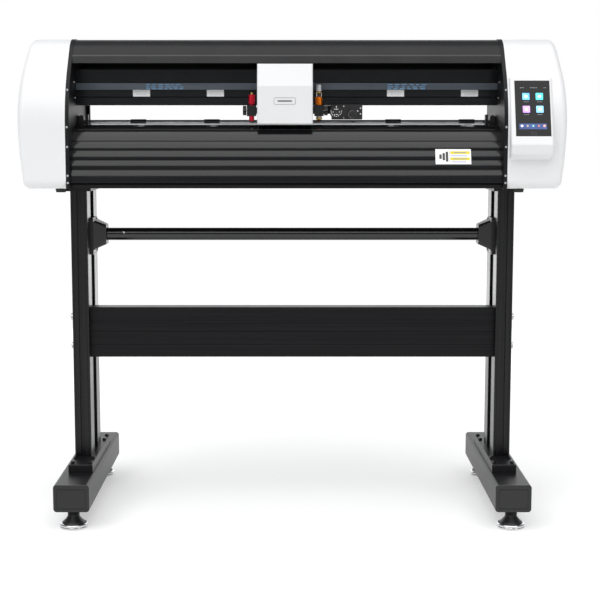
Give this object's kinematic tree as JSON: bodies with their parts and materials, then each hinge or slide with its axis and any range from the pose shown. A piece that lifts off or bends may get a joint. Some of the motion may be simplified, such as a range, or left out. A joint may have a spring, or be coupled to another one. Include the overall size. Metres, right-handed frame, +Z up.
{
  "type": "vinyl cutter",
  "caption": "Floor-standing vinyl cutting plotter: T-leg stand on levelling feet, roll bar, grit feed shaft, pinch rollers, belt-driven twin-tool carriage, touch screen.",
  "frame": {"origin": "on the floor, at the centre of the overall width and of the feet's length", "axes": "+X to the operator's right, +Y to the rear, +Z up"},
  "size_m": [1.15, 0.506, 1.022],
  "materials": {
    "black_steel": "black textured powder coat",
    "black_extrusion": "black anodised, glossy",
    "black_plastic": "moulded, fine grain",
    "black_gloss": "smooth gloss",
    "white_casing": "satin white moulding",
    "zinc_screw": "bright zinc",
    "chrome_steel": "polished",
    "ground_steel": "ground and oiled",
    "rubber": "matt",
    "grit": "knurled, sintered grit",
    "aluminium_part": "machined",
    "red_anodised": "red anodised",
    "orange_anodised": "orange anodised",
    "screen_glass": "lit touch panel",
    "label": "printed film",
    "circuit_board": "solder mask",
    "steel_cage": "zinc-plated sheet"
  },
  "bodies": {
    "frame": {"foot_tubes": "black_steel", "foot_end_caps": "black_plastic", "leg_plates": "black_steel", "legs": "black_extrusion", "stand_bolts": "zinc_screw", "crossbar": "black_extrusion", "bar_brackets": "black_plastic", "side_plates": "black_steel", "left_end_cover": "white_casing", "right_end_cover": "white_casing", "top_cover": "black_steel", "front_apron": "black_extrusion", "rear_apron": "black_extrusion", "bottom_tray": "black_steel", "labels": "label", "beam": "black_extrusion", "linear_rail": "ground_steel", "carriage_belt": "rubber", "carriage_motor": "black_steel", "drive_brackets": "steel_cage", "shaft_bearings": "ground_steel", "slot_end_blocks": "black_plastic", "feed_belt": "rubber", "feed_motor": "black_steel", "touch_screen": "screen_glass", "control_board": "circuit_board", "power_supply": "steel_cage", "rear_sockets": "black_plastic", "rubber_feet": "rubber", "case_screws": "zinc_screw"},
    "roll_bar": {"roll_bar": "black_gloss"},
    "carriage": {"carriage_block": "ground_steel", "carriage_plate": "black_steel", "carriage_cover": "white_casing", "tool_solenoids": "black_steel", "camera_module": "black_plastic"},
    "drive_pulley": {"drive_pulley": "aluminium_part"},
    "idler_pulley": {"idler_pulley": "aluminium_part"},
    "left_tool": {"left_tool_slide": "black_gloss", "left_tool_holder": "red_anodised"},
    "right_tool": {"right_tool_slide": "black_gloss", "right_tool_holder": "orange_anodised"},
    "left_knob": {"left_tool_knob": "black_plastic"},
    "right_knob": {"right_tool_knob": "black_plastic"},
    "grit_roller": {"grit_shaft": "ground_steel", "grit_sleeves": "grit", "feed_pulley": "aluminium_part"},
    "feed_motor_pulley": {"feed_motor_pulley": "aluminium_part"},
    "pinch_lift": {"lift_shaft": "ground_steel", "pinch_arms": "aluminium_part", "lift_lever": "black_plastic"},
    "power_rocker": {"power_rocker": "black_gloss"},
    "pinch_roller_1": {"pinch_roller_1": "rubber"},
    "pinch_roller_2": {"pinch_roller_2": "rubber"},
    "pinch_roller_3": {"pinch_roller_3": "rubber"},
    "pinch_roller_4": {"pinch_roller_4": "rubber"},
    "front_left_leveller": {"front_left_leveller": "chrome_steel"},
    "rear_left_leveller": {"rear_left_leveller": "chrome_steel"},
    "front_right_leveller": {"front_right_leveller": "chrome_steel"},
    "rear_right_leveller": {"rear_right_leveller": "chrome_steel"}
  },
  "joints": [
    {"name": "carriage_travel", "type": "slide", "parent": "frame", "child": "carriage", "axis": [1, 0, 0], "range_m": [-0.355, 0.285]},
    {"name": "drive_pulley_spin", "type": "hinge", "parent": "frame", "child": "drive_pulley", "pos_m": [0.482, -0.01, 0.966], "axis": [0, 1, 0], "continuous": true},
    {"name": "idler_pulley_spin", "type": "hinge", "parent": "frame", "child": "idler_pulley", "pos_m": [-0.5, -0.01, 0.966], "axis": [0, 1, 0], "continuous": true},
    {"name": "left_tool_lift", "type": "slide", "parent": "carriage", "child": "left_tool", "axis": [0, 0, 1], "range_m": [-0.006, 0], "stiffness_N_per_m": 300, "springref_m": 0.004},
    {"name": "right_tool_lift", "type": "slide", "parent": "carriage", "child": "right_tool", "axis": [0, 0, 1], "range_m": [-0.006, 0], "stiffness_N_per_m": 300, "springref_m": 0.004},
    {"name": "left_knob_turn", "type": "hinge", "parent": "left_tool", "child": "left_knob", "pos_m": [-0.103, -0.062, 0.869], "axis": [1, 0, 0], "continuous": true},
    {"name": "right_knob_turn", "type": "hinge", "parent": "right_tool", "child": "right_knob", "pos_m": [0.073, -0.062, 0.869], "axis": [1, 0, 0], "continuous": true},
    {"name": "grit_roller_spin", "type": "hinge", "parent": "frame", "child": "grit_roller", "pos_m": [0, 0.0285, 0.8425], "axis": [1, 0, 0], "continuous": true},
    {"name": "feed_motor_pulley_spin", "type": "hinge", "parent": "frame", "child": "feed_motor_pulley", "pos_m": [0.4665, 0.0285, 0.77], "axis": [1, 0, 0], "continuous": true},
    {"name": "pinch_lift_swing", "type": "hinge", "parent": "frame", "child": "pinch_lift", "pos_m": [0, 0.105, 0.892], "axis": [1, 0, 0], "range_deg": [0, 25]},
    {"name": "roll_bar_spin", "type": "hinge", "parent": "frame", "child": "roll_bar", "pos_m": [0, 0, 0.6], "axis": [1, 0, 0], "continuous": true},
    {"name": "power_rocker_tip", "type": "hinge", "parent": "frame", "child": "power_rocker", "pos_m": [0.52, 0.121, 0.785], "axis": [0, 0, 1], "range_deg": [0, 14]},
    {"name": "pinch_roller_1_spin", "type": "hinge", "parent": "pinch_lift", "child": "pinch_roller_1", "pos_m": [-0.339, 0.02185, 0.89469], "axis": [1, 0, 0], "continuous": true},
    {"name": "pinch_roller_2_spin", "type": "hinge", "parent": "pinch_lift", "child": "pinch_roller_2", "pos_m": [-0.177, 0.02185, 0.89469], "axis": [1, 0, 0], "continuous": true},
    {"name": "pinch_roller_3_spin", "type": "hinge", "parent": "pinch_lift", "child": "pinch_roller_3", "pos_m": [0.222, 0.02185, 0.89469], "axis": [1, 0, 0], "continuous": true},
    {"name": "pinch_roller_4_spin", "type": "hinge", "parent": "pinch_lift", "child": "pinch_roller_4", "pos_m": [0.384, 0.02185, 0.89469], "axis": [1, 0, 0], "continuous": true},
    {"name": "front_left_leveller_screw", "type": "slide", "parent": "frame", "child": "front_left_leveller", "axis": [0, 0, 1], "range_m": [-0.012, 0]},
    {"name": "rear_left_leveller_screw", "type": "slide", "parent": "frame", "child": "rear_left_leveller", "axis": [0, 0, 1], "range_m": [-0.012, 0]},
    {"name": "front_right_leveller_screw", "type": "slide", "parent": "frame", "child": "front_right_leveller", "axis": [0, 0, 1], "range_m": [-0.012, 0]},
    {"name": "rear_right_leveller_screw", "type": "slide", "parent": "frame", "child": "rear_right_leveller", "axis": [0, 0, 1], "range_m": [-0.012, 0]}
  ],
  "couplings": [
    {"joint": "drive_pulley_spin", "follows": "carriage_travel", "rad_per_m": -156.25},
    {"joint": "idler_pulley_spin", "follows": "carriage_travel", "rad_per_m": -156.25},
    {"joint": "feed_motor_pulley_spin", "follows": "grit_roller_spin", "ratio": 2.7778}
  ]
}
